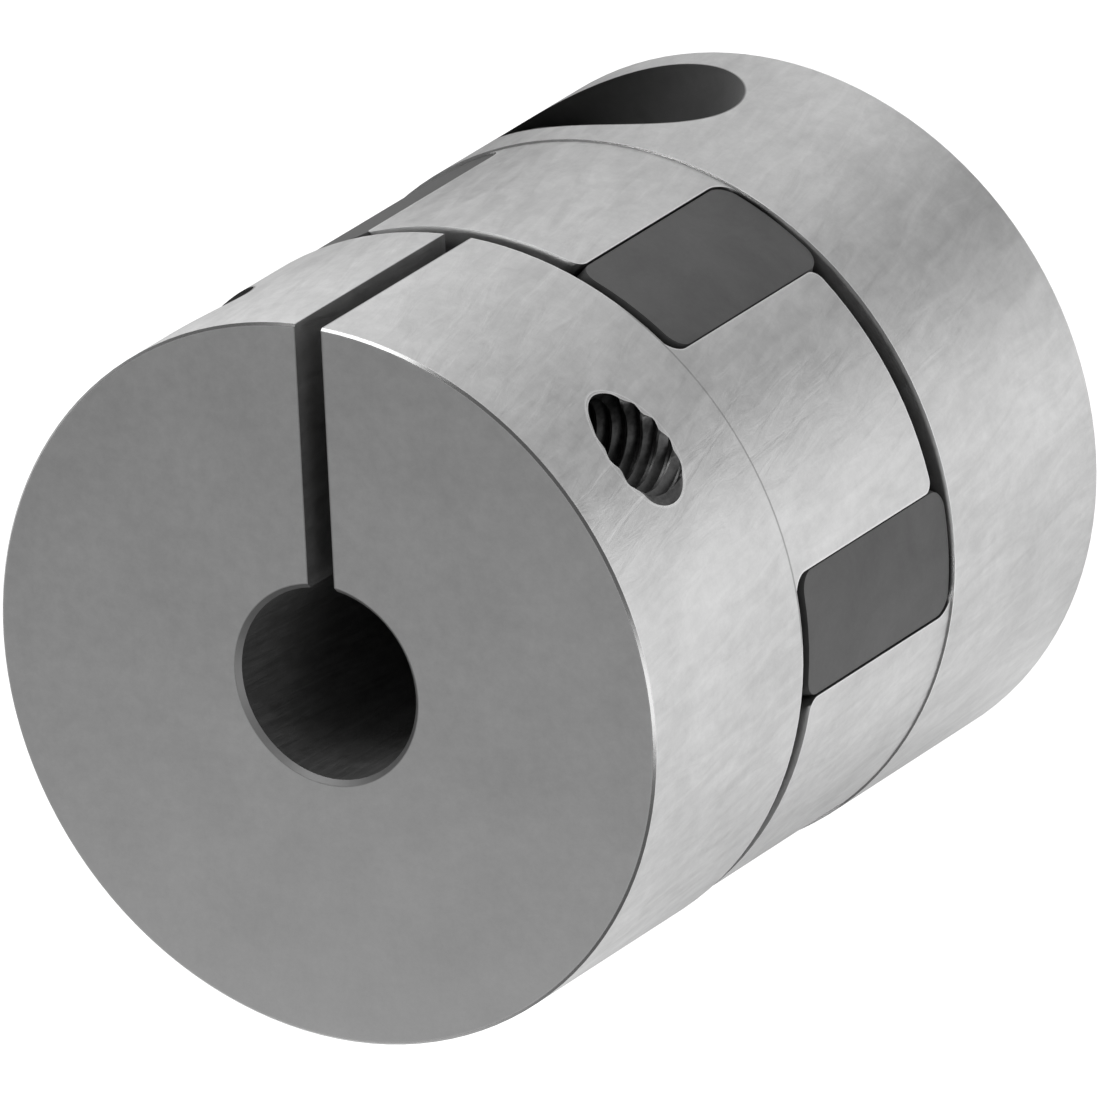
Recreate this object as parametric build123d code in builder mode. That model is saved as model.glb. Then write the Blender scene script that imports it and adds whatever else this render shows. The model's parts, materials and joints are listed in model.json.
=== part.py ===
from build123d import *
import math
import os

# Plug-in jaw coupling for two shafts: two equal clamping hubs, an elastic spider between their jaws
# and one socket head screw across the slit of each hub. Millimetres, the coupling stands on the end
# face of its rear hub, the common axis is Z and the origin is the centre of that face.

# Hubs
outer_diameter = 30.0
overall_length = 35.0
body_length = 11.5          # end face to jaw root
bore_diameter = 8.0
slit_width = 1.2
jaw_count = 3
jaw_relief = 0.08           # the jaws are turned this much smaller in radius than the body
jaw_root_radius = 1.0
jaw_tip_radius = 0.5
jaw_inner_corner_radius = 1.0
rim_chamfer = 0.1
bore_chamfer = 0.2

# Spider
arm_width = 6.2             # at the fattest place of the crowned arm
arm_fat_radius = 11.0       # distance of that place from the axis
crown_radius = 14.0         # of the convex arm flanks
arm_recess = 0.05           # arm ends lie this far inside the jaws' outside
ring_diameter = 15.2
ring_bore_diameter = 10.4
ring_corner_radius = 0.8
arm_edge_radius = 0.8

# Clamp screws, M4 with a socket head
thread_diameter = 4.0
screw_length = 10.0
head_diameter = 7.0
head_height = 4.0
head_edge_radius = 0.35
socket_across_flats = 3.0
socket_depth = 2.0
tip_chamfer = 0.5
screw_depth = 5.4           # screw axis in from the outside of the hub
screw_height = 5.65         # screw axis to end face
seat_wall = 2.4             # hub material between the slit and the seat of the head
counterbore_diameter = 8.0

# Clearances
flank_clearance = 0.1       # jaw flank to arm flank
tip_clearance = 1.0         # jaw tips to the other hub's jaw root
rear_end_clearance = 0.25   # spider to the rear hub's jaw root, where it is pushed in first
front_end_clearance = 0.7   # spider to the front hub's jaw root
ring_clearance = 0.1        # jaw inside to spider ring
thread_clearance = 0.06     # radial, threaded hole to screw
shank_clearance = 0.2       # radial, plain hole to screw
milling_overrun = 2.0       # cuts run this far past the outside

# Worked out from the sizes above
outer_radius = outer_diameter / 2
jaw_length = overall_length - 2 * body_length - tip_clearance
jaw_outer_radius = outer_radius - jaw_relief
jaw_inner_radius = ring_diameter / 2 + ring_clearance
jaw_step = 360 / jaw_count
arm_count = 2 * jaw_count
arm_outer_radius = jaw_outer_radius - arm_recess
spider_low = body_length + rear_end_clearance
spider_length = overall_length - body_length - front_end_clearance - spider_low
crown_centre = (arm_fat_radius, arm_width / 2 - crown_radius)
screw_offset = outer_radius - screw_depth
seat_distance = slit_width / 2 + seat_wall
half_chord = math.sqrt(outer_radius**2 - screw_offset**2)
milling_radius = outer_radius + milling_overrun
tiny = 0.001

# The end face of each hub, with X along its slit and the normal towards its jaws. The rear hub's
# slit stands opposite one of its own jaws and the front hub is turned by half a jaw step.
front_slit_angle = 90
rear_slit_angle = front_slit_angle + jaw_step / 2


def direction(angle):
    """Level direction at an angle in degrees from the X axis."""
    return (math.cos(math.radians(angle)), math.sin(math.radians(angle)), 0)


front_end = Plane(origin=(0, 0, overall_length), x_dir=direction(front_slit_angle), z_dir=(0, 0, -1))
rear_end = Plane(origin=(0, 0, 0), x_dir=direction(rear_slit_angle), z_dir=(0, 0, 1))


def is_flank(edge):
    """Whether a round edge belongs to a jaw flank."""
    return abs(edge.radius - crown_radius - flank_clearance) < tiny


def is_bore_edge(edge):
    """Whether a round edge is a rim of the bore."""
    return abs(edge.radius - bore_diameter / 2) < tiny


def screw_plane(base, side, distance):
    """Plane across the screw axis of a hub, facing outwards on one side of the slit."""
    origin = base.from_local_coords(Vector(screw_offset, side * distance, screw_height))
    outwards = base.y_dir * side
    return Plane(origin=origin, x_dir=base.z_dir, z_dir=outwards)


def jaw_outline():
    """One jaw across the axis, centred on X, with flanks hollowed to fit the crowned arms. It runs out
    past the hub, so that the gaps that it leaves can be milled right through the outside."""
    centre_distance = math.hypot(*crown_centre)
    centre_angle = jaw_step / 4 + math.degrees(math.atan2(-crown_centre[1], crown_centre[0]))
    wedge_length = milling_radius + milling_overrun
    half_height = wedge_length * math.tan(math.radians(jaw_step / 4))
    with BuildSketch() as outline:
        with BuildLine():
            Polyline((0, 0), (wedge_length, -half_height), (wedge_length, half_height), close=True)
        make_face()
        Circle(jaw_inner_radius, mode=Mode.SUBTRACT)
        for side in (-1, 1):
            with PolarLocations(centre_distance, 1, start_angle=side * centre_angle):
                Circle(crown_radius + flank_clearance, mode=Mode.SUBTRACT)
        inner_corners = outline.vertices().group_by(lambda corner: Vector(corner).length)[0]
        fillet(inner_corners, jaw_inner_corner_radius)
    return outline.sketch


def jaw_gaps(base):
    """What is milled away between the jaws of a hub, with rounded lower edges."""
    jaw = jaw_outline()
    with BuildPart() as gaps:
        with BuildSketch(base.offset(body_length)):
            Circle(milling_radius)
            with PolarLocations(0, jaw_count, start_angle=jaw_step / 2):
                add(jaw, mode=Mode.SUBTRACT)
        extrude(amount=jaw_length)
        floor = gaps.faces().sort_by(Axis(base.origin, base.z_dir))[0]
        fillet(floor.edges().sort_by(SortBy.RADIUS)[:-jaw_count], jaw_root_radius)
    return gaps.part


def clamp_hub(base):
    """A whole hub on the plane of its end face."""
    axis = Axis(base.origin, base.z_dir)
    with BuildPart() as hub:
        # Turned bar
        with BuildSketch(base):
            Circle(outer_radius)
        extrude(amount=body_length + jaw_length)
        chamfer(hub.faces().sort_by(axis)[0].edges(), rim_chamfer)

        # Jaws, half a step away from the slit
        add(jaw_gaps(base), mode=Mode.SUBTRACT)
        flanks = hub.faces().sort_by(axis)[-jaw_count:].edges().filter_by(GeomType.CIRCLE)
        fillet(flanks.filter_by(is_flank), jaw_tip_radius)
        with BuildSketch(base.offset(body_length)):
            Circle(milling_radius)
            Circle(jaw_outer_radius, mode=Mode.SUBTRACT)
        extrude(amount=jaw_length, mode=Mode.SUBTRACT)

        # Bore
        with BuildSketch(base):
            Circle(bore_diameter / 2)
        extrude(amount=body_length, mode=Mode.SUBTRACT)
        bore_edges = hub.edges().filter_by(GeomType.CIRCLE).filter_by(is_bore_edge)
        chamfer(bore_edges, bore_chamfer)

        # Clamp slit from the bore to the outside
        with BuildSketch(base):
            with Locations((outer_radius, 0)):
                Rectangle(2 * outer_radius, slit_width)
        extrude(amount=body_length, mode=Mode.SUBTRACT)

        # Counterbored hole on one side of the slit, threaded hole on the other
        with Locations(screw_plane(base, -1, half_chord)):
            CounterBoreHole(
                thread_diameter / 2 + shank_clearance,
                counterbore_diameter / 2,
                half_chord - seat_distance,
                half_chord,
            )
        with Locations(screw_plane(base, 1, outer_radius)):
            Hole(thread_diameter / 2 + thread_clearance, outer_radius)
    return hub


def arm_outline():
    """One arm across the axis, centred on X: the lens between two crowned flanks. It runs out too far,
    and is cut back round when its edges are rounded."""
    with BuildSketch() as outline:
        with Locations(crown_centre):
            Circle(crown_radius)
        with Locations((crown_centre[0], -crown_centre[1])):
            Circle(crown_radius, mode=Mode.INTERSECT)
        Circle(milling_radius, mode=Mode.INTERSECT)
        Circle((ring_diameter + ring_bore_diameter) / 4, mode=Mode.SUBTRACT)
    return outline.sketch


def spider_insert():
    """Ring with crowned arms, moulded in one."""
    arm = arm_outline()
    with BuildPart() as insert:
        with BuildSketch(Plane.XY.offset(spider_low)) as star:
            Circle(ring_diameter / 2)
            with PolarLocations(0, arm_count):
                add(arm)
            fillet(star.vertices().group_by(lambda corner: Vector(corner).length)[0], ring_corner_radius)
            Circle(ring_bore_diameter / 2, mode=Mode.SUBTRACT)
        extrude(amount=spider_length)
        fillet(insert.faces().filter_by(Plane.XY).edges(), arm_edge_radius)
        with BuildSketch(Plane.XY.offset(spider_low)):
            Circle(milling_radius)
            Circle(arm_outer_radius, mode=Mode.SUBTRACT)
        extrude(amount=spider_length, mode=Mode.SUBTRACT)
    return insert


def clamp_screw(base):
    """Socket head screw of a hub, its head seated in the counterbore."""
    seat = screw_plane(base, -1, seat_distance)
    with BuildPart() as screw:
        with BuildSketch(seat):
            Circle(head_diameter / 2)
        extrude(amount=head_height)
        top = screw.faces().sort_by(Axis(seat.origin, seat.z_dir))[-1]
        fillet(top.edges(), head_edge_radius)
        with BuildSketch(seat):
            Circle(thread_diameter / 2)
        extrude(amount=-screw_length)
        tip = screw.faces().sort_by(Axis(seat.origin, seat.z_dir))[0]
        chamfer(tip.edges(), tip_chamfer)
        with BuildSketch(seat.offset(head_height)):
            RegularPolygon(socket_across_flats / 2, 6, major_radius=False)
        extrude(amount=-socket_depth, mode=Mode.SUBTRACT)
    return screw


os.makedirs("parts", exist_ok=True)

front_hub = clamp_hub(front_end)
front_hub.part.label = "front_hub"
export_step(front_hub.part, "parts/front_hub.step")

rear_hub = clamp_hub(rear_end)
rear_hub.part.label = "rear_hub"
export_step(rear_hub.part, "parts/rear_hub.step")

spider = spider_insert()
spider.part.label = "spider"
export_step(spider.part, "parts/spider.step")

front_clamp_screw = clamp_screw(front_end)
front_clamp_screw.part.label = "front_clamp_screw"
export_step(front_clamp_screw.part, "parts/front_clamp_screw.step")

rear_clamp_screw = clamp_screw(rear_end)
rear_clamp_screw.part.label = "rear_clamp_screw"
export_step(rear_clamp_screw.part, "parts/rear_clamp_screw.step")
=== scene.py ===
import json
import math

import bmesh
import bpy
from mathutils import Matrix, Vector

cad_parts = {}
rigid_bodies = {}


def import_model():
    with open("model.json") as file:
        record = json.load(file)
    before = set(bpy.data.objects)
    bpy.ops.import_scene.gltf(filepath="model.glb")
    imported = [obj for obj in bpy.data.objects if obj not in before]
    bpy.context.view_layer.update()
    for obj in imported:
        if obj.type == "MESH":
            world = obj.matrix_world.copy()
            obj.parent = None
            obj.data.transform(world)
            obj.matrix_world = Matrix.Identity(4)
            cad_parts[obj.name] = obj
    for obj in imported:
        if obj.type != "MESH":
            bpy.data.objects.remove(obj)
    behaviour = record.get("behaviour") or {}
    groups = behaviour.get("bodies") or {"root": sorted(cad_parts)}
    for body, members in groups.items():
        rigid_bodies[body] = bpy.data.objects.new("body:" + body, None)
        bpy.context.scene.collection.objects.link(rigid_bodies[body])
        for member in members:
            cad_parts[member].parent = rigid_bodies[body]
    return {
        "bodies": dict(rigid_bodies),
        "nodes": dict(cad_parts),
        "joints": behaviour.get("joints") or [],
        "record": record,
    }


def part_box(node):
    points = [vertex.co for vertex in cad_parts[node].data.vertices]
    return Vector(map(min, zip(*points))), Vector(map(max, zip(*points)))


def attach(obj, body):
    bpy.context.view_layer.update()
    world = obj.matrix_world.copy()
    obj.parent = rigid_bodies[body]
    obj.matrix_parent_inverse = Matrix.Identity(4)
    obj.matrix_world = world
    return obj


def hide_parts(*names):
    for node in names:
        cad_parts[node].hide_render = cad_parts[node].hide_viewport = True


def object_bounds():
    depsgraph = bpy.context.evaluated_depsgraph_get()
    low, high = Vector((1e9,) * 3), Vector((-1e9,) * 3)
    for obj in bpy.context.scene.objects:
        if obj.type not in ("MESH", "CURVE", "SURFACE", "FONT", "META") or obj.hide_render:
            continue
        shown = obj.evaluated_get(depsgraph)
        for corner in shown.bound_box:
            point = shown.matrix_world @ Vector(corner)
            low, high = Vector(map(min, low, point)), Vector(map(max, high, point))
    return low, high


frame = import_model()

# Jaw coupling in metres, standing on its rear hub with the shaft axis along Z
MM = 0.001

# What a new Blender file brings along goes first, so that it is neither measured nor seen
NODES = frame["nodes"]
for thing in set(bpy.data.objects) - set(NODES.values()) - set(frame["bodies"].values()):
    bpy.data.objects.remove(thing)
CAD_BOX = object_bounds()

# Sizes read from the frame
HUB_LOW, HUB_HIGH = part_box("rear_hub")
OUTER_RADIUS = (HUB_HIGH.x - HUB_LOW.x) / 2
COUPLING_LENGTH = CAD_BOX[1].z - CAD_BOX[0].z
BORE_RADIUS = next(m["dims"]["r_mm"] for m in frame["record"]["mounts"] if m["name"] == "front_bore") * MM
SCREW_LOW, SCREW_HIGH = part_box("front_clamp_screw")
HEAD_TOP = -SCREW_LOW.x
SCREW_TIP = SCREW_HIGH.x
HEAD_RADIUS = (SCREW_HIGH.z - SCREW_LOW.z) / 2

# Meshes made here
MERGE_DISTANCE = 0.0001 * MM
SHARP_ANGLE = 35.0                  # degrees
HUB_SLOT = 1                        # material slot of the faces that belong to the hub's outside

# Form of a thread, as places along one pitch, and the places where its mesh has rows
ROOT_END = 0.16
CREST_START = 0.52
CREST_END = 0.64
THREAD_PHASES = (0.0, 0.08, ROOT_END, 0.34, CREST_START, CREST_END, 0.82)

# M4 socket head screw
THREAD_PITCH = 0.7 * MM
THREAD_MAJOR_RADIUS = 1.97 * MM
THREAD_MINOR_RADIUS = 1.55 * MM
SCREW_COLUMNS = 60
NECK_RADIUS = 1.75 * MM
NECK_LENGTH = 0.9 * MM
NECK_IN_HEAD = 0.05 * MM
HEAD_HEIGHT = 4.0 * MM
HEAD_EDGE_RADIUS = 0.35 * MM
KNURL_RIBS = 45
KNURL_DEPTH = 0.09 * MM
SOCKET_ACROSS_FLATS = 3.0 * MM
SOCKET_DEPTH = 2.0 * MM
SOCKET_MOUTH_RADIUS = 1.82 * MM
SOCKET_MOUTH_DEPTH = 0.25 * MM
SOCKET_FLOOR_RADIUS = 1.35 * MM
DRILL_POINT_RADIUS = 0.2 * MM
DRILL_POINT_DEPTH = 0.4 * MM
TIP_CHAMFER = 0.45 * MM
TIP_RADIUS = 1.5 * MM

# Threads seen in the mouths of the tapped holes
TAPPED_COLUMNS = 96
TAPPED_CREST_RADIUS = 1.66 * MM
TAPPED_ROOT_RADIUS = 2.03 * MM
TAPPED_WALL_RADIUS = 2.065 * MM
TAPPED_MOUTH_RADIUS = 2.0 * MM      # the thread runs out to this radius at the hub's outside
TAPPED_RUNOUT_DEPTH = 0.45 * MM
TAPPED_MOUTH_SHARE = 0.5            # of the thread's depth, left at the sides of its mouth
TAPPED_SKIRT_RADIUS = 2.2 * MM      # outside of the edge of the hub round the hole
TAPPED_SKIRT_DROP = 0.015 * MM
TAPPED_MOUTH_RISE = 0.004 * MM
TAPPED_TIP_GAP = 0.15 * MM          # the thread starts this far past the screw's tip

# Machined places in the hubs
SLIT_HALF_WIDTH = 0.6 * MM
POCKET_RADIUS = 4.0 * MM
BODY_LENGTH = 11.5 * MM             # end face to jaw root
JAW_COUNT = 3
RIM_WIDTH = 0.10 * MM
BORE_CHAMFER = 0.20 * MM
HIGHLIGHT_EDGE_WIDTH = 0.13 * MM
JAW_EDGE_RADIUS = 0.35 * MM

# What is painted on a place fades in or out between two distances
WALL_FADE = (0.02 * MM, 0.08 * MM)  # from a wall of the slit or the pocket
BORE_FADE = 0.06 * MM               # from the edge of the bore's chamfer
POCKET_FADE = 1 * MM                # from the slit, in the pocket
HUB_GAP_FADE = (0.3 * MM, 0.9 * MM)             # below the outside, in the jaw gaps
ELASTOMER_GAP_FADE = (0.15 * MM, 0.45 * MM)     # below the outside, on the arms
GAP_REACH = 4 * MM                  # a surface with another piece this close lies in a gap
GAP_OPENNESS = (0.75, 0.5)          # share of free directions at which a gap's painted shade starts and is full
ROUND_COSINES = (0.98, 0.99)        # between a normal and the radial one, on the round outside
EDGE_COSINES = (0.985, 0.93)        # between a normal and the rounded one, along an edge

# Finish of the hubs, with painted shade in the hollows, the jaw gaps and at the front step, a painted dark
# reflection on the rim chamfer and a painted highlight on broken edges
ALUMINIUM_GREY = 0.705
EDGE_HIGHLIGHT_GREY = 0.97               # painted highlight along the broken edges
BORE_SHADE_SHARE = 0.58                   # of the outside's grey: painted shade in the bore, the slit and the pocket, where little light reaches
SLIT_SHADE_SHARE = 0.62
# painted dark reflection: the rim chamfer's grey is cut to this share
RIM_DARK_REFLECTION_SHARE = 0.55
POCKET_SHADE_SHARE = 0.38
# painted shade in the jaw gaps
JAW_GAP_SHADE_SHARE = 0.25
# painted shade: a thin dark line at the front hub's step to the jaws
STEP_SHADE_SHARE = 0.7
ALUMINIUM_ROUGHNESS = (0.42, 0.48)
SAWN_ROUGHNESS = 0.15               # added where the metal is sawn, drilled or bored
POLISHED_ROUGHNESS = 0.25
STREAK_CONTRAST = 0.065
MOTTLE_CONTRAST = 0.05
CLOUD_CONTRAST = 0.03

# Finish of the threads, the spider and the screws; the threads' dark grey is painted shade in the holes
THREAD_SHADE_GREYS = (0.10, 0.17)
THREAD_ROUGHNESS = (0.34, 0.48)
ELASTOMER_GREY = 0.105
ELASTOMER_GAP_SHADE_SHARE = 0.35
ELASTOMER_CLOUD_CONTRAST = 0.024
ELASTOMER_GRAIN_CONTRAST = 0.005
ELASTOMER_ROUGHNESS = (0.42, 0.52)
STEEL_GREYS = (0.10, 0.20)
STEEL_ROUGHNESS = (0.30, 0.42)

# Detail of the patterns, in cells for each metre, and the range that a noise seldom leaves
GROOVE_SCALE = 9000.0
STREAK_SCALE = 1300.0
STREAK_SLANT = 0.18                 # of the height, added to the way round
STREAK_STRETCH = 0.22
GROOVE_STRETCH = 0.02
MOTTLE_SCALE = 1400.0
CLOUD_SCALE = 230.0
THREAD_GRAIN_SCALE = 4000.0
ELASTOMER_GRAIN_SCALE = 5200.0
ELASTOMER_CLOUD_SCALE = 330.0
STEEL_GRAIN_SCALE = 3500.0
STEEL_CLOUD_SCALE = 700.0
FLOOR_CLOUD_SCALE = 6.0
NOISE_LOW = 0.3
NOISE_HIGH = 0.7

# Light
WORLD_STRENGTH = 0.21
# Brightness of the floor in the part's reflections, every 30 degrees from -165 round to +165 (from +X
# towards +Y): cards stand round the part, with a dark gap on the camera's side
NEAR_GLOW = (0.0, 0.0, 0.05, 0.20, 0.60, 0.50, 0.60, 0.10, 0.40, 0.35, 0.05, 0.0)
FAR_GLOW = (0.85, 0.80, 0.70, 0.60, 0.50, 0.60, 0.80, 0.0, 0.25, 0.60, 0.75, 0.55)
FLOOR_RADIUS = 2.5
FLOOR_GAP = 0.02 * MM
NEAR_RING = 30 * MM                 # the near glow turns into the far one between these distances
FAR_RING = 36 * MM
DARK_FLOOR_SHARES = (0.8, 0.98)     # of the outer radius, where the painted shadow under the part fades out
UPPER_SOFTBOX = Vector((-0.110, 0.340, 0.181))      # from the coupling's centre
UPPER_SOFTBOX_POWER = 0.32
SIDE_SOFTBOX = Vector((0.329, -0.070, 0.217))       # from the coupling's centre
SIDE_SOFTBOX_POWER = 0.2
SOFTBOX_SIZE = 0.16
FACE_LIGHT = Vector((-0.070, -0.090, 0.096))        # from the front end face
FACE_LIGHT_POWER = 0.01
FACE_LIGHT_SIZE = 0.06

# Camera at the photograph's viewing angle
CAMERA_HEADING = 34.82        # degrees from +X towards +Y
CAMERA_ELEVATION = 53.16      # degrees above the horizon
CAMERA_ROLL = 121.93          # degrees
CAMERA_DISTANCE = 1.1637
CAMERA_LENS = 957.3
CAMERA_AIM = (-0.11 * MM, -0.23 * MM)     # right and up from the coupling's centre
SENSOR_WIDTH = 36.0
CLIP_START = 0.01
CLIP_END = 10.0


def link(obj):
    """Puts an object into the scene."""
    bpy.context.scene.collection.objects.link(obj)
    return obj


class Shader:
    """Small helper that adds and joins shader nodes."""

    def __init__(self, name):
        self.material = bpy.data.materials.new(name)
        self.material.use_nodes = True
        self.tree = self.material.node_tree
        self.principled = self.tree.nodes["Principled BSDF"]

    def add(self, kind, values=None, **settings):
        node = self.tree.nodes.new(kind)
        for key, value in settings.items():
            setattr(node, key, value)
        for key, value in (values or {}).items():
            self.feed(node, key, value)
        return node

    def feed(self, node, key, value):
        socket = node.inputs[key]
        if isinstance(value, bpy.types.NodeSocket):
            self.tree.links.new(value, socket)
        elif isinstance(value, bpy.types.Node):
            self.tree.links.new(value.outputs[0], socket)
        else:
            socket.default_value = value

    def maths(self, operation, a, b=0.0):
        return self.add("ShaderNodeMath", {0: a, 1: b}, operation=operation).outputs[0]

    def between(self, value, low, high, out_low=0.0, out_high=1.0):
        """Maps low..high to out_low..out_high, held at both ends."""
        values = {"Value": value, "From Min": low, "From Max": high, "To Min": out_low, "To Max": out_high}
        return self.add("ShaderNodeMapRange", values).outputs["Result"]

    def spread(self, noise, low, high):
        """Stretches a noise to the range low..high."""
        return self.between(noise, NOISE_LOW, NOISE_HIGH, low, high)

    def noise(self, vector, scale, detail=2.0, roughness=0.5, distortion=0.0):
        values = {"Vector": vector, "Scale": scale, "Detail": detail, "Roughness": roughness}
        values["Distortion"] = distortion
        return self.add("ShaderNodeTexNoise", values).outputs["Fac"]

    def along(self, vector, direction):
        """Length of a vector along a fixed direction."""
        node = self.add("ShaderNodeVectorMath", {0: vector, 1: tuple(direction)}, operation="DOT_PRODUCT")
        return node.outputs["Value"]

    def grey(self, value):
        return self.add("ShaderNodeCombineColor", {0: value, 1: value, 2: value}).outputs[0]

    def bump(self, height, strength, distance, normal=None):
        values = {"Height": height, "Strength": strength, "Distance": distance}
        if normal is not None:
            values["Normal"] = normal
        return self.add("ShaderNodeBump", values).outputs["Normal"]

    def out(self, **values):
        for key, value in values.items():
            self.feed(self.principled, key.replace("_", " "), value)
        return self.material


def outward_normal(shader, place):
    """The surface's own normal, made exact on the round outside."""
    own = shader.add("ShaderNodeNewGeometry").outputs["Normal"]
    level = shader.add("ShaderNodeVectorMath", {0: place, 1: (1.0, 1.0, 0.0)}, operation="MULTIPLY")
    radial = shader.add("ShaderNodeVectorMath", {0: level}, operation="NORMALIZE")
    ways = {"vector_type": "NORMAL", "convert_from": "OBJECT", "convert_to": "WORLD"}
    turned = shader.add("ShaderNodeVectorTransform", {0: radial}, **ways)
    same = shader.add("ShaderNodeVectorMath", {0: own, 1: turned}, operation="DOT_PRODUCT").outputs["Value"]
    normals = {"Factor": shader.between(same, *ROUND_COSINES), 4: own, 5: turned}
    return shader.add("ShaderNodeMix", normals, data_type="VECTOR").outputs[1]


def round_coordinates(shader):
    """Distance from the Z axis, angle as length on the outside, and height, from object coordinates."""
    place = shader.add("ShaderNodeTexCoord").outputs["Object"]
    parts = shader.add("ShaderNodeSeparateXYZ", {0: place})
    x, y, z = parts.outputs
    xx = shader.maths("MULTIPLY", x, x)
    yy = shader.maths("MULTIPLY", y, y)
    radius = shader.maths("SQRT", shader.maths("ADD", xx, yy))
    angle = shader.maths("ARCTAN2", y, x)
    around = shader.maths("MULTIPLY", angle, OUTER_RADIUS)
    return place, radius, around, z


def screw_coordinates(shader, place, joint):
    """Distances of a surface point from a hub's screw axis, along that axis and along the slit."""
    across, _, along = screw_axes(joint)
    reach = shader.along(place, across)
    side = shader.along(place, along)
    origin = tuple(joint["pos_m"])
    from_origin = shader.add("ShaderNodeVectorMath", {0: place, 1: origin}, operation="SUBTRACT")
    crossed = shader.add("ShaderNodeVectorMath", {0: from_origin, 1: tuple(along)}, operation="CROSS_PRODUCT")
    distance = shader.add("ShaderNodeVectorMath", {0: crossed}, operation="LENGTH").outputs["Value"]
    return reach, side, distance


def rounded_normal(shader, width):
    """The normal as it would be with rounded edges."""
    return shader.add("ShaderNodeBevel", {"Radius": width}, samples=4).outputs[0]


def edge_mask(shader, width):
    """One along edges, where a rounded normal leans from the surface's own."""
    plain = shader.add("ShaderNodeNewGeometry").outputs["Normal"]
    both = {0: rounded_normal(shader, width), 1: plain}
    same = shader.add("ShaderNodeVectorMath", both, operation="DOT_PRODUCT").outputs["Value"]
    return shader.between(same, *EDGE_COSINES)


def jaw_level(shader, height):
    """Distance from the middle between the jaw roots, less the distance of the roots: below zero there."""
    middle = (CAD_BOX[0].z + CAD_BOX[1].z) / 2
    level = shader.maths("ABSOLUTE", shader.maths("SUBTRACT", height, middle))
    return shader.maths("SUBTRACT", level, COUPLING_LENGTH / 2 - BODY_LENGTH)


def gap_shade_mask(shader, radius, height, depths):
    """Mask of painted shade: one between the jaw roots, below the outside, where another piece is close, as
    an ambient occlusion node finds it. It starts at the lesser of the two depths. When the coupling is pulled
    apart, the same places are bright."""
    start, full = depths
    between_roots = shader.between(jaw_level(shader, height), 0.06 * MM, 0.02 * MM)
    below = shader.between(radius, OUTER_RADIUS - start, OUTER_RADIUS - full)
    openness = shader.add("ShaderNodeAmbientOcclusion", {"Distance": GAP_REACH}, samples=4).outputs["AO"]
    covered = shader.between(openness, *GAP_OPENNESS)
    return shader.maths("MULTIPLY", shader.maths("MULTIPLY", between_roots, below), covered)


def bore_mask(shader, radius):
    """One in the bore and on its chamfer."""
    edge = BORE_RADIUS + BORE_CHAMFER
    return shader.between(radius, edge + BORE_FADE, edge)


def slit_mask(shader, reach, side):
    """One on the walls of the clamp slit."""
    near, far = WALL_FADE
    walls = shader.between(shader.maths("ABSOLUTE", side), SLIT_HALF_WIDTH + far, SLIT_HALF_WIDTH + near)
    return shader.maths("MULTIPLY", walls, shader.between(reach, 0.0, BORE_RADIUS))


def pocket_mask(shader, side, from_screw):
    """One in the counterbored pocket round the screw's head."""
    near, far = WALL_FADE
    wall = shader.between(from_screw, POCKET_RADIUS + far, POCKET_RADIUS + near)
    from_slit = shader.between(side, SLIT_HALF_WIDTH, SLIT_HALF_WIDTH + POCKET_FADE)
    return shader.maths("MULTIPLY", wall, from_slit)


def step_mask(shader, level, around, joint):
    """One on the step from the body to the smaller jaws, where there is a jaw."""
    slit_angle = math.atan2(*reversed(screw_axes(joint)[0].xy))
    from_slit = shader.maths("SUBTRACT", shader.maths("DIVIDE", around, OUTER_RADIUS), slit_angle)
    wave = shader.maths("COSINE", shader.maths("MULTIPLY", from_slit, JAW_COUNT))
    below = shader.between(level, -0.1 * MM, -0.05 * MM)
    above = shader.between(level, 0.12 * MM, 0.08 * MM)
    at_root = shader.maths("MULTIPLY", below, above)
    return shader.maths("MULTIPLY", at_root, shader.between(wave, 0.1, -0.1))


def rim_mask(shader, level, radius):
    """One on the chamfer round the end face."""
    low = BODY_LENGTH - RIM_WIDTH
    inner = OUTER_RADIUS - RIM_WIDTH
    high_enough = shader.between(level, low - 0.02 * MM, low + 0.01 * MM)
    wide_enough = shader.between(radius, inner - 0.03 * MM, inner)
    return shader.maths("MULTIPLY", high_enough, wide_enough)


def brushed_streaks(shader, around, height, radius):
    """Long noise that runs along the shaft's axis, slightly askew."""
    slant = shader.maths("ADD", around, shader.maths("MULTIPLY", height, STREAK_SLANT))
    stretched = shader.maths("MULTIPLY", height, STREAK_STRETCH)
    place = shader.add("ShaderNodeCombineXYZ", {0: slant, 1: stretched, 2: radius})
    return shader.noise(place, STREAK_SCALE, detail=4.0, roughness=0.6, distortion=0.8)


def turned_grooves(shader, around, height, radius):
    """Fine noise that runs round with the turning tool."""
    stretched = shader.maths("MULTIPLY", around, GROOVE_STRETCH)
    place = shader.add("ShaderNodeCombineXYZ", {0: radius, 1: stretched, 2: height})
    return shader.noise(place, GROOVE_SCALE, detail=3.0, roughness=0.6)


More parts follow.
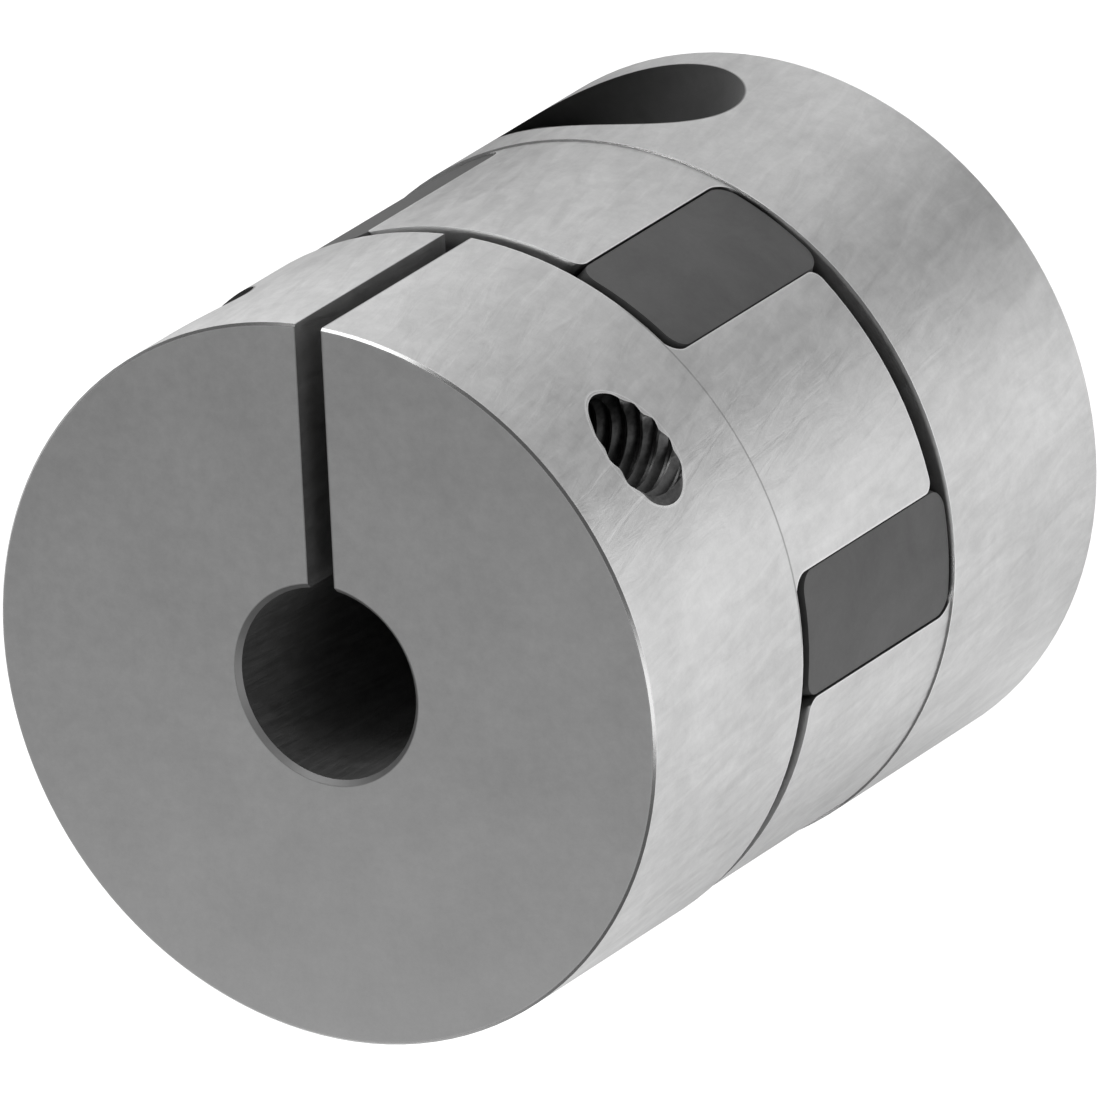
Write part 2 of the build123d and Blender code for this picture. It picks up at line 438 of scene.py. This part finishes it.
def hub_aluminium(name, joint, bright_step):
    """Turned aluminium with sawn, drilled and bored places, which are rougher and carry painted shade.
    Painted shade also falls in the jaw gaps, the rim chamfer gets a painted dark reflection and the broken
    edges a painted highlight. The step from the body to the smaller jaws is a smoother, bright line on the
    rear hub and a painted dark line of shade on the front one."""
    s = Shader(name)
    place, radius, around, height = round_coordinates(s)
    reach, side, from_screw = screw_coordinates(s, place, joint)
    level = jaw_level(s, height)
    lean = s.add("ShaderNodeSeparateXYZ", {0: s.add("ShaderNodeTexCoord").outputs["Normal"]}).outputs["Z"]
    flat_end = s.maths("ABSOLUTE", lean)
    on_side = s.between(flat_end, 0.6, 0.2)

    step_line = step_mask(s, level, around, joint)
    at_rim = rim_mask(s, level, radius)
    # Painted shade: the bore, slit, pocket and jaw gaps are darker where little light reaches, and the rim
    # chamfer's reflection is painted darker
    darker_places = [
        (bore_mask(s, radius), BORE_SHADE_SHARE),
        (slit_mask(s, reach, side), SLIT_SHADE_SHARE),
        (pocket_mask(s, side, from_screw), POCKET_SHADE_SHARE),
        (gap_shade_mask(s, radius, height, HUB_GAP_FADE), JAW_GAP_SHADE_SHARE),
        (at_rim, RIM_DARK_REFLECTION_SHARE),
    ]
    polished = at_rim
    # The rear step is smoother; the front step gets painted shade, a thin dark line like a contact shadow
    if bright_step:
        polished = s.maths("MAXIMUM", at_rim, step_line)
    else:
        darker_places.append((step_line, STEP_SHADE_SHARE))
    share, dark = 1.0, 0.0
    for mask, mask_share in darker_places:
        share = s.maths("MINIMUM", share, s.between(mask, 0.0, 1.0, 1.0, mask_share))
        dark = s.maths("MAXIMUM", dark, mask)

    grooves = turned_grooves(s, around, height, radius)
    streaks = brushed_streaks(s, around, height, radius)
    mottle = s.noise(place, MOTTLE_SCALE, detail=5.0, roughness=0.75)
    clouds = s.noise(place, CLOUD_SCALE, detail=2.0)
    streak_tone = s.maths("MULTIPLY", s.spread(streaks, -STREAK_CONTRAST, STREAK_CONTRAST), on_side)
    mottle_tone = s.spread(mottle, -MOTTLE_CONTRAST, MOTTLE_CONTRAST)
    cloud_tone = s.spread(clouds, -CLOUD_CONTRAST, CLOUD_CONTRAST)
    spots = s.maths("ADD", mottle_tone, cloud_tone)
    tone = s.maths("ADD", s.maths("ADD", streak_tone, spots), ALUMINIUM_GREY)
    # Painted highlight: the grey is lifted along edges, but not in the darker places
    bright = s.maths("MULTIPLY", edge_mask(s, HIGHLIGHT_EDGE_WIDTH), s.maths("SUBTRACT", 1.0, dark))
    base = s.between(bright, 0.0, 1.0, s.maths("MULTIPLY", tone, share), EDGE_HIGHLIGHT_GREY)

    fine = s.maths("ADD", s.spread(mottle, *ALUMINIUM_ROUGHNESS), s.maths("MULTIPLY", streak_tone, 0.6))
    rough = s.maths("ADD", fine, s.maths("MULTIPLY", dark, SAWN_ROUGHNESS))
    rough = s.between(polished, 0.0, 1.0, rough, POLISHED_ROUGHNESS)

    # The edges of the jaw roots and tips are rounder than the mesh has them
    at_jaw_end = s.maths("MULTIPLY", s.between(level, 0.1 * MM, 0.05 * MM), s.between(flat_end, 0.8, 0.9))
    normals = {"Factor": at_jaw_end, 4: outward_normal(s, place), 5: rounded_normal(s, JAW_EDGE_RADIUS)}
    normal = s.add("ShaderNodeMix", normals, data_type="VECTOR").outputs[1]
    normal = s.bump(grooves, 0.10, 0.01 * MM, normal)
    normal = s.bump(s.maths("MULTIPLY", streaks, on_side), 0.9, 0.045 * MM, normal)
    return s.out(Base_Color=s.grey(base), Metallic=1.0, Roughness=rough, Normal=normal)


def tapped_aluminium():
    """Cut thread, painted darker than the outside as shade inside the hole."""
    s = Shader("tapped_aluminium")
    place = s.add("ShaderNodeTexCoord").outputs["Object"]
    fine = s.noise(place, THREAD_GRAIN_SCALE, detail=4.0, roughness=0.6)
    # Painted shade: the thread is dark as the inside of the hole gets little light
    base = s.spread(fine, *THREAD_SHADE_GREYS)
    rough = s.spread(fine, *THREAD_ROUGHNESS)
    normal = s.bump(fine, 0.2, 0.02 * MM)
    return s.out(Base_Color=s.grey(base), Metallic=1.0, Roughness=rough, Normal=normal)


def moulded_elastomer():
    """Dark matt moulded elastomer, with painted shade where it lies in the jaw gaps."""
    s = Shader("moulded_elastomer")
    place, radius, _, height = round_coordinates(s)
    fine = s.noise(place, ELASTOMER_GRAIN_SCALE, detail=3.0, roughness=0.6)
    broad = s.noise(place, ELASTOMER_CLOUD_SCALE, detail=4.0, roughness=0.6, distortion=0.5)
    cloud_tone = s.spread(broad, -ELASTOMER_CLOUD_CONTRAST, ELASTOMER_CLOUD_CONTRAST)
    grain_tone = s.spread(fine, -ELASTOMER_GRAIN_CONTRAST, ELASTOMER_GRAIN_CONTRAST)
    tone = s.maths("ADD", cloud_tone, grain_tone)
    # Painted shade: the arms are darker where the jaws close round them
    painted_gap_shade = gap_shade_mask(s, radius, height, ELASTOMER_GAP_FADE)
    share = s.between(painted_gap_shade, 0.0, 1.0, 1.0, ELASTOMER_GAP_SHADE_SHARE)
    base = s.maths("MULTIPLY", s.maths("ADD", tone, ELASTOMER_GREY), share)
    rough = s.spread(broad, *ELASTOMER_ROUGHNESS)
    normal = s.bump(fine, 0.15, 0.02 * MM)
    return s.out(Base_Color=s.grey(base), Roughness=rough, Normal=normal)


def blackened_steel():
    """Blackened and oiled screw steel with slight wear."""
    s = Shader("blackened_steel")
    place = s.add("ShaderNodeTexCoord").outputs["Object"]
    fine = s.noise(place, STEEL_GRAIN_SCALE, detail=4.0, roughness=0.6)
    broad = s.noise(place, STEEL_CLOUD_SCALE, detail=3.0)
    worn = s.between(s.maths("MULTIPLY", fine, broad), 0.22, 0.42)
    base = s.between(worn, 0.0, 1.0, *STEEL_GREYS)
    rough = s.spread(broad, *STEEL_ROUGHNESS)
    normal = s.bump(fine, 0.12, 0.01 * MM)
    return s.out(Base_Color=s.grey(base), Metallic=1.0, Roughness=rough, Normal=normal)


def screw_axes(joint):
    """Unit directions of a hub's screw: away from the hub's axis, up and out of the screw's head."""
    along = Vector(joint["axis"]).normalized()
    place = Vector(joint["pos_m"])
    across = Vector((place.x, place.y, 0)).normalized()
    return across, along.cross(across), along


def screw_frame(joint):
    """Matrix that puts a piece's Z along the screw axis, out of the head, with X away from the hub's axis."""
    turn = Matrix(screw_axes(joint)).transposed().to_4x4()
    return Matrix.Translation(Vector(joint["pos_m"])) @ turn


def finish_mesh(name, bm, matrix, material):
    """Makes an object from the bmesh, placed by the matrix through its vertices."""
    bmesh.ops.remove_doubles(bm, verts=bm.verts, dist=MERGE_DISTANCE)
    bmesh.ops.dissolve_degenerate(bm, edges=bm.edges, dist=MERGE_DISTANCE)
    bmesh.ops.transform(bm, matrix=matrix, verts=bm.verts)
    bmesh.ops.recalc_face_normals(bm, faces=bm.faces)
    mesh = bpy.data.meshes.new(name)
    bm.to_mesh(mesh)
    bm.free()
    mesh.shade_smooth()
    mesh.set_sharp_from_angle(angle=math.radians(SHARP_ANGLE))
    mesh.materials.append(material)
    return link(bpy.data.objects.new(name, mesh))


def ring_of_points(bm, columns, radius_at, height_at):
    """Points round Z, with a radius and a height that may vary with the angle."""
    points = []
    for i in range(columns):
        angle = 2 * math.pi * i / columns
        r = radius_at(angle)
        points.append(bm.verts.new((r * math.cos(angle), r * math.sin(angle), height_at(angle))))
    return points


def bridge(bm, lower, upper):
    """Faces between two rings with as many points."""
    count = len(lower)
    for i in range(count):
        j = (i + 1) % count
        bm.faces.new((lower[i], lower[j], upper[j], upper[i]))


def thread_profile(phase, root, crest):
    """Radius of a sixty degree thread at a phase of 0 to 1 along one pitch."""
    phase = phase % 1.0
    corners = ((0.0, root), (ROOT_END, root), (CREST_START, crest), (CREST_END, crest), (1.0, root))
    for (p0, r0), (p1, r1) in zip(corners, corners[1:]):
        if phase <= p1:
            return r0 + (r1 - r0) * (phase - p0) / (p1 - p0)
    return root


def thread_surface(bm, columns, low_at, high_at, radius_at):
    """Helical thread between two ends that may vary with the angle."""
    lowest = min(low_at(2 * math.pi * i / columns) for i in range(columns))
    highest = max(high_at(2 * math.pi * i / columns) for i in range(columns))
    first_turn = math.floor(lowest / THREAD_PITCH) - 2
    last_turn = math.ceil(highest / THREAD_PITCH) + 1
    rows = len(THREAD_PHASES)
    total = (last_turn - first_turn) * columns
    grid = []
    for step in range(total + 1):
        angle = 2 * math.pi * (step % columns) / columns
        column = []
        for phase in THREAD_PHASES:
            height = (first_turn + step / columns + phase) * THREAD_PITCH
            held = min(max(height, low_at(angle)), high_at(angle))
            r = radius_at(angle, held)
            column.append(bm.verts.new((r * math.cos(angle), r * math.sin(angle), held)))
        grid.append(column)
    for step in range(total):
        for row in range(rows - 1):
            bm.faces.new((grid[step][row], grid[step + 1][row], grid[step + 1][row + 1], grid[step][row + 1]))
        if step + 1 + columns <= total:
            bm.faces.new(
                (grid[step][-1], grid[step + 1][-1], grid[step + 1 + columns][0], grid[step + columns][0])
            )


def thread_radius(root, crest):
    """Radius of a helical thread at an angle and a height."""
    return lambda angle, height: thread_profile(height / THREAD_PITCH - angle / (2 * math.pi), root, crest)


def end_loop(bm, columns, end_at, radius_at):
    """Loop of points where a thread meets its end."""
    return ring_of_points(bm, columns, lambda angle: radius_at(angle, end_at(angle)), end_at)


def hexagon_radius(angle):
    """Distance from the centre to the socket's wall."""
    sixth = math.pi / 3
    return SOCKET_ACROSS_FLATS / 2 / math.cos((angle % sixth) - sixth / 2)


def clamp_screw(name, joint, body, node, material):
    """Knurled socket head screw with its thread. It stands along Z, with the top of its head upwards."""
    bm = bmesh.new()
    columns = 4 * KNURL_RIBS
    seat = HEAD_TOP - HEAD_HEIGHT

    def knurled(depth):
        def radius_at(angle):
            wave = 0.5 + 0.5 * math.cos(angle * KNURL_RIBS)
            return HEAD_RADIUS - depth * wave
        return radius_at

    def plain(radius):
        return lambda angle: radius

    def at(height):
        return lambda angle: height

    arc = HEAD_EDGE_RADIUS
    profile = [
        (plain(NECK_RADIUS), seat),
        (plain(HEAD_RADIUS - 2 * KNURL_DEPTH), seat),
        (knurled(KNURL_DEPTH), seat + 2 * KNURL_DEPTH),
        (knurled(KNURL_DEPTH), HEAD_TOP - arc - KNURL_DEPTH),
    ]
    for degrees in range(10, 91, 20):
        turn = math.radians(degrees)
        radius = HEAD_RADIUS - arc + (arc - KNURL_DEPTH) * math.cos(turn)
        profile.append((plain(radius), HEAD_TOP - arc + arc * math.sin(turn)))
    profile += [
        (plain(HEAD_RADIUS - arc), HEAD_TOP),
        (plain(SOCKET_MOUTH_RADIUS), HEAD_TOP),
        (hexagon_radius, HEAD_TOP - SOCKET_MOUTH_DEPTH),
        (hexagon_radius, HEAD_TOP - SOCKET_DEPTH),
        (plain(SOCKET_FLOOR_RADIUS), HEAD_TOP - SOCKET_DEPTH),
        (plain(DRILL_POINT_RADIUS), HEAD_TOP - SOCKET_DEPTH - DRILL_POINT_DEPTH),
    ]
    loops = [ring_of_points(bm, columns, radius_at, at(height)) for radius_at, height in profile]
    for lower, upper in zip(loops, loops[1:]):
        bridge(bm, lower, upper)
    bm.faces.new(loops[-1])

    neck_end = seat - NECK_LENGTH
    tip = -SCREW_TIP
    neck_top = ring_of_points(bm, SCREW_COLUMNS, plain(NECK_RADIUS), at(seat + NECK_IN_HEAD))
    neck_low = ring_of_points(bm, SCREW_COLUMNS, plain(NECK_RADIUS), at(neck_end))
    bridge(bm, neck_low, neck_top)
    chamfer_top = tip + TIP_CHAMFER
    thread = thread_radius(THREAD_MINOR_RADIUS, THREAD_MAJOR_RADIUS)
    bridge(bm, end_loop(bm, SCREW_COLUMNS, at(neck_end), thread), neck_low)
    thread_surface(bm, SCREW_COLUMNS, at(chamfer_top), at(neck_end), thread)
    tip_loop = ring_of_points(bm, SCREW_COLUMNS, plain(TIP_RADIUS), at(tip))
    bridge(bm, tip_loop, end_loop(bm, SCREW_COLUMNS, at(chamfer_top), thread))
    bm.faces.new(tip_loop)

    screw = finish_mesh(name, bm, screw_frame(joint), material)
    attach(screw, body)
    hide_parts(node)


def shade_as_round(mesh):
    """Gives the faces that belong to the hub's outside its round normals."""
    normals = [corner.vector.copy() for corner in mesh.corner_normals]
    for face in mesh.polygons:
        if face.material_index == HUB_SLOT:
            for k in face.loop_indices:
                point = mesh.vertices[mesh.loops[k].vertex_index].co
                normals[k] = Vector((point.x, point.y, 0)).normalized()
    mesh.normals_split_custom_set(normals)


def tapped_thread(name, joint, body, material, hub_material):
    """Thread in the mouth of a tapped hole, cut off flush with the round outside of the hub, and the
    broken edge of the hub round it."""
    bm = bmesh.new()
    columns = TAPPED_COLUMNS
    offset = Vector(joint["pos_m"]).xy.length

    def surface(radius, rise=0.0):
        """Height on the hub's outside, raised a little."""
        return lambda angle: -math.sqrt((OUTER_RADIUS + rise)**2 - (offset + radius * math.cos(angle))**2)

    def inner_end(angle):
        return -SCREW_TIP - TAPPED_TIP_GAP

    outer_end = surface(TAPPED_MOUTH_RADIUS)
    thread = thread_radius(TAPPED_ROOT_RADIUS, TAPPED_CREST_RADIUS)

    def cut_thread(angle, height):
        """The thread, shallower near the hub's outside, most of all at the ends of the oval mouth."""
        inside = min(1.0, max(0.0, (height - outer_end(angle)) / TAPPED_RUNOUT_DEPTH))
        at_mouth = TAPPED_MOUTH_SHARE * math.sin(angle)**2
        whole = at_mouth + (1 - at_mouth) * math.sqrt(inside)
        return TAPPED_MOUTH_RADIUS + (thread(angle, height) - TAPPED_MOUTH_RADIUS) * whole

    def wall(angle):
        return TAPPED_WALL_RADIUS

    def skirt_wall(angle):
        return TAPPED_SKIRT_RADIUS

    thread_surface(bm, columns, outer_end, inner_end, cut_thread)
    mouth = end_loop(bm, columns, outer_end, cut_thread)
    crown = ring_of_points(bm, columns, wall, surface(TAPPED_WALL_RADIUS, TAPPED_MOUTH_RISE))
    skirt = ring_of_points(bm, columns, skirt_wall, surface(TAPPED_SKIRT_RADIUS, -TAPPED_SKIRT_DROP))
    rim = ring_of_points(bm, columns, wall, surface(TAPPED_WALL_RADIUS, -2 * TAPPED_SKIRT_DROP))
    back = ring_of_points(bm, columns, wall, inner_end)
    throat = end_loop(bm, columns, inner_end, cut_thread)
    threaded = len(bm.faces)
    bridge(bm, mouth, crown)
    bridge(bm, crown, skirt)
    outside = list(bm.faces)[threaded:]
    bridge(bm, skirt, rim)
    bridge(bm, rim, back)
    bridge(bm, back, throat)
    for face in outside:
        face.material_index = HUB_SLOT
    ring = finish_mesh(name, bm, screw_frame(joint), material)
    ring.data.materials.append(hub_material)
    shade_as_round(ring.data)
    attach(ring, body)


def glow_round(shader, share, levels):
    """Brightness at a share of a full turn, from levels at even steps round the ring."""
    node = shader.add("ShaderNodeValToRGB", {0: share})
    joined = (levels[0] + levels[-1]) / 2
    stops = [((k + 0.5) / len(levels), level) for k, level in enumerate(levels)]
    elements = node.color_ramp.elements
    for element, position in zip(elements, (0.0, 1.0)):
        element.position = position
        element.color = (joined, joined, joined, 1)
    for position, level in stops:
        elements.new(position).color = (level, level, level, 1)
    return node.outputs["Color"]


def pale_floor():
    """Pale glowing floor. What the part reflects of it changes softly with the direction and the distance,
    as between white cards, and its glow is cut out right under the part as a painted shadow. It can be looked
    through from below."""
    s = Shader("pale_floor")
    place = s.add("ShaderNodeTexCoord").outputs["Object"]
    x, y, _ = s.add("ShaderNodeSeparateXYZ", {0: place}).outputs
    distance = s.add("ShaderNodeVectorMath", {0: place}, operation="LENGTH").outputs["Value"]
    turn_share = s.between(s.maths("ARCTAN2", y, x), -math.pi, math.pi)
    glows = {
        "A": glow_round(s, turn_share, NEAR_GLOW),
        "B": glow_round(s, turn_share, FAR_GLOW),
        "Factor": s.between(distance, NEAR_RING, FAR_RING),
    }
    reflected = s.add("ShaderNodeMix", glows, data_type="FLOAT").outputs["Result"]
    seen = s.add("ShaderNodeLightPath").outputs["Is Camera Ray"]
    glow = s.maths("MAXIMUM", seen, reflected)
    # Painted shadow: no glow right under the part
    dark_radius, open_radius = (share * OUTER_RADIUS for share in DARK_FLOOR_SHARES)
    open_floor = s.between(distance, dark_radius, open_radius)
    base = s.spread(s.noise(place, FLOOR_CLOUD_SCALE), 0.78, 0.82)
    s.out(
        Base_Color=s.grey(base),
        Roughness=0.8,
        Emission_Color=(1, 1, 1, 1),
        Emission_Strength=s.maths("MULTIPLY", glow, open_floor),
        Alpha=s.maths("SUBTRACT", 1.0, s.add("ShaderNodeNewGeometry").outputs["Backfacing"]),
    )
    bm = bmesh.new()
    bmesh.ops.create_circle(bm, cap_ends=True, cap_tris=False, segments=64, radius=FLOOR_RADIUS)
    mesh = bpy.data.meshes.new("floor")
    bm.to_mesh(mesh)
    bm.free()
    mesh.materials.append(s.material)
    floor = link(bpy.data.objects.new("floor", mesh))
    floor.location.z = CAD_BOX[0].z - FLOOR_GAP


def soft_light(name, place, target, size, power):
    """Square area light at a place, turned to its target. Its power is in watts."""
    data = bpy.data.lights.new(name, "AREA")
    data.shape = "SQUARE"
    data.size = size
    data.energy = power
    light = link(bpy.data.objects.new(name, data))
    light.location = place
    light.rotation_euler = (target - place).to_track_quat("-Z", "Y").to_euler()


def studio():
    """Even pale surroundings and three soft lights."""
    world = bpy.data.worlds.new("studio")
    world.use_nodes = True
    background = world.node_tree.nodes["Background"]
    background.inputs["Color"].default_value = (1, 1, 1, 1)
    background.inputs["Strength"].default_value = WORLD_STRENGTH
    bpy.context.scene.world = world
    bpy.context.scene.view_settings.view_transform = "Standard"
    centre = Vector((0, 0, CAD_BOX[0].z + COUPLING_LENGTH / 2))
    front = Vector((0, 0, CAD_BOX[1].z))
    soft_light("upper_softbox", centre + UPPER_SOFTBOX, centre, SOFTBOX_SIZE, UPPER_SOFTBOX_POWER)
    soft_light("side_softbox", centre + SIDE_SOFTBOX, centre, SOFTBOX_SIZE, SIDE_SOFTBOX_POWER)
    soft_light("face_light", front + FACE_LIGHT, front, FACE_LIGHT_SIZE, FACE_LIGHT_POWER)


def camera():
    """Camera with a long lens at the photograph's viewing angle."""
    data = bpy.data.cameras.new("camera")
    data.lens = CAMERA_LENS
    data.sensor_width = SENSOR_WIDTH
    data.clip_start = CLIP_START
    data.clip_end = CLIP_END
    heading = math.radians(CAMERA_HEADING)
    elevation = math.radians(CAMERA_ELEVATION)
    level_share = math.cos(elevation)
    back = Vector((math.cos(heading) * level_share, math.sin(heading) * level_share, math.sin(elevation)))
    cam = link(bpy.data.objects.new("camera", data))
    centre = (CAD_BOX[0] + CAD_BOX[1]) / 2
    turn = (-back).to_track_quat("-Z", "Y").to_matrix() @ Matrix.Rotation(-math.radians(CAMERA_ROLL), 3, "Z")
    place = centre + back * CAMERA_DISTANCE + turn @ Vector((*CAMERA_AIM, 0))
    cam.matrix_world = Matrix.Translation(place) @ turn.to_4x4()
    bpy.context.scene.camera = cam


def dress(node, material):
    """Gives a CAD node its material."""
    materials = NODES[node].data.materials
    for index in range(len(materials)):
        materials[index] = material


def main():
    elastomer = moulded_elastomer()
    steel = blackened_steel()
    thread_aluminium = tapped_aluminium()
    dress("spider", elastomer)
    joints = {joint["name"]: joint for joint in frame["joints"]}
    for side in ("front", "rear"):
        joint = joints[side + "_screw_turn"]
        node = side + "_clamp_screw"
        aluminium = hub_aluminium(side + "_hub_aluminium", joint, side == "rear")
        dress(side + "_hub", aluminium)
        clamp_screw(side + "_knurled_screw", joint, node, node, steel)
        tapped_thread(side + "_hole_thread", joint, side + "_hub", thread_aluminium, aluminium)
    pale_floor()
    studio()
    camera()


main()
